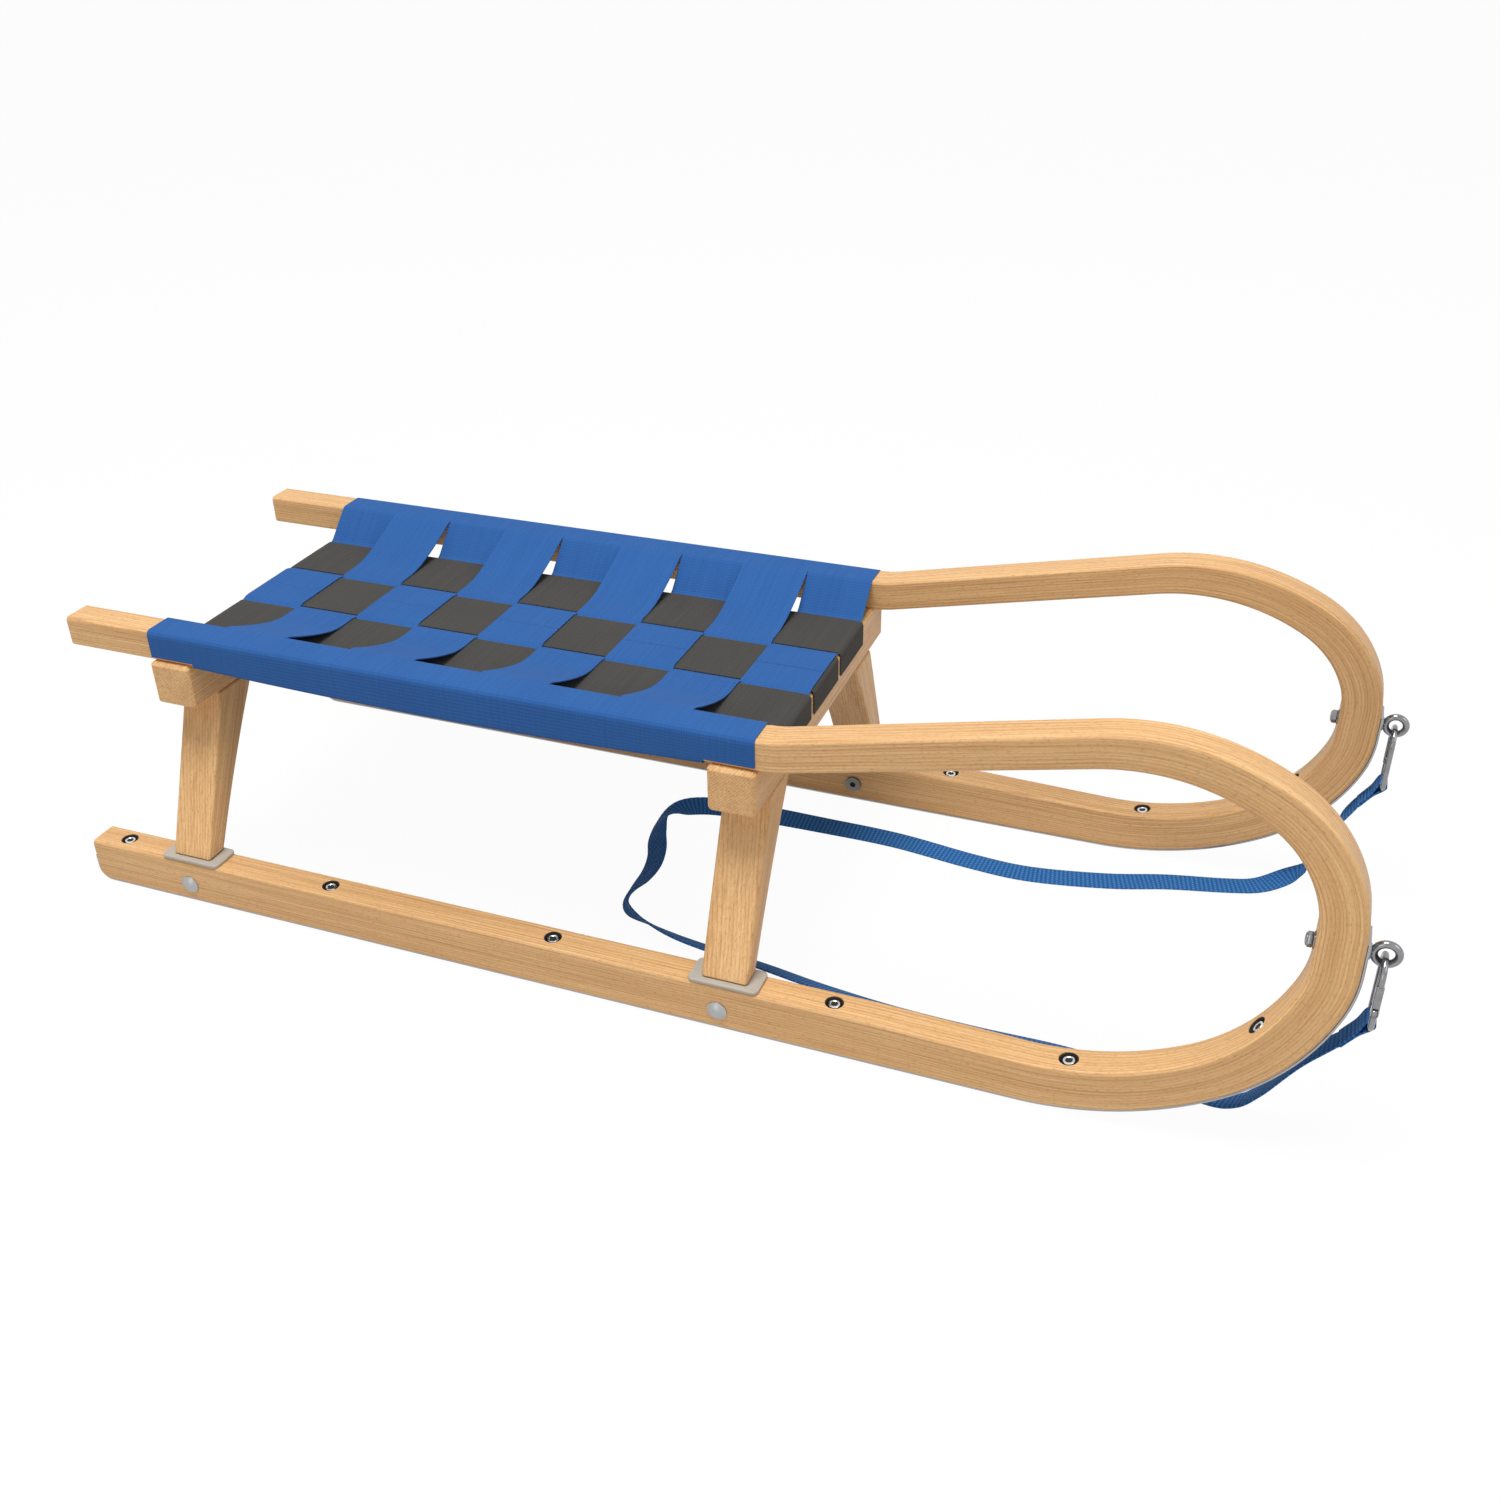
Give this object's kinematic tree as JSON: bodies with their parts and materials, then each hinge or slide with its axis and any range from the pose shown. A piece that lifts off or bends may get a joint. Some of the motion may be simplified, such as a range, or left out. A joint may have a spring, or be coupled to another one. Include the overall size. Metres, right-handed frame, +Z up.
{
  "type": "two-seater sled",
  "caption": "Wooden sled with bent-wood horned runners on steel skids, splayed legs, a woven cloth seat, and a tow strap on spring hooks.",
  "frame": {"origin": "on the ground, midway between the rear ends of the skids and the fronts of the tow rings, on the middle plane", "axes": "+X to the noses and tow rings, +Y to the sled's left, +Z up"},
  "size_m": [1.1246, 0.406, 0.317],
  "materials": {
    "beech_wood": "clear satin lacquer on bent and sawn beech",
    "collar_plate": "pale smooth plates",
    "skid_steel": "plain rolled steel strip",
    "zinc_steel": "zinc plated",
    "bright_chrome": "bright plated",
    "seat_cloth": "ribbed blue synthetic cloth",
    "grey_webbing": "fine-ribbed dark grey webbing",
    "tow_webbing": "blue webbing of herringbone weave"
  },
  "bodies": {
    "sled": {"left_runner": "beech_wood", "right_runner": "beech_wood", "rear_cross_beam": "beech_wood", "front_cross_beam": "beech_wood", "rear_left_leg": "beech_wood", "rear_right_leg": "beech_wood", "front_left_leg": "beech_wood", "front_right_leg": "beech_wood", "rear_left_collar": "collar_plate", "rear_right_collar": "collar_plate", "front_left_collar": "collar_plate", "front_right_collar": "collar_plate", "left_skid": "skid_steel", "right_skid": "skid_steel", "left_skid_screws": "zinc_steel", "right_skid_screws": "zinc_steel", "left_skid_nuts": "zinc_steel", "right_skid_nuts": "zinc_steel", "left_leg_bolts": "zinc_steel", "right_leg_bolts": "zinc_steel", "left_leg_nuts": "zinc_steel", "right_leg_nuts": "zinc_steel", "left_rail_screws": "zinc_steel", "right_rail_screws": "zinc_steel", "left_eyebolt": "bright_chrome", "right_eyebolt": "bright_chrome", "left_eyebolt_washer": "bright_chrome", "right_eyebolt_washer": "bright_chrome", "left_eyebolt_nut": "bright_chrome", "right_eyebolt_nut": "bright_chrome", "seat_fabric": "seat_cloth", "seat_strap_left": "grey_webbing", "seat_strap_middle": "grey_webbing", "seat_strap_right": "grey_webbing", "fabric_staples": "zinc_steel", "tow_strap": "tow_webbing"},
    "left_hook": {"left_hook": "bright_chrome", "left_strap_loop": "tow_webbing"},
    "right_hook": {"right_hook": "bright_chrome", "right_strap_loop": "tow_webbing"},
    "left_gate": {"left_hook_gate": "bright_chrome", "left_gate_pin": "bright_chrome"},
    "right_gate": {"right_hook_gate": "bright_chrome", "right_gate_pin": "bright_chrome"}
  },
  "joints": [
    {"name": "left_hook_swing", "type": "hinge", "parent": "sled", "child": "left_hook", "pos_m": [0.55125, 0.16512, 0.17861], "axis": [0, -1, 0], "range_deg": [0, 100]},
    {"name": "left_gate_open", "type": "hinge", "parent": "left_hook", "child": "left_gate", "pos_m": [0.55125, 0.17812, 0.14061], "axis": [1, 0, 0], "range_deg": [0, 25], "stiffness_Nm_per_rad": 0.02, "springref_deg": -20.05},
    {"name": "right_hook_swing", "type": "hinge", "parent": "sled", "child": "right_hook", "pos_m": [0.55125, -0.16512, 0.17861], "axis": [0, -1, 0], "range_deg": [0, 100]},
    {"name": "right_gate_open", "type": "hinge", "parent": "right_hook", "child": "right_gate", "pos_m": [0.55125, -0.17812, 0.14061], "axis": [-1, 0, 0], "range_deg": [0, 25], "stiffness_Nm_per_rad": 0.02, "springref_deg": -20.05}
  ]
}
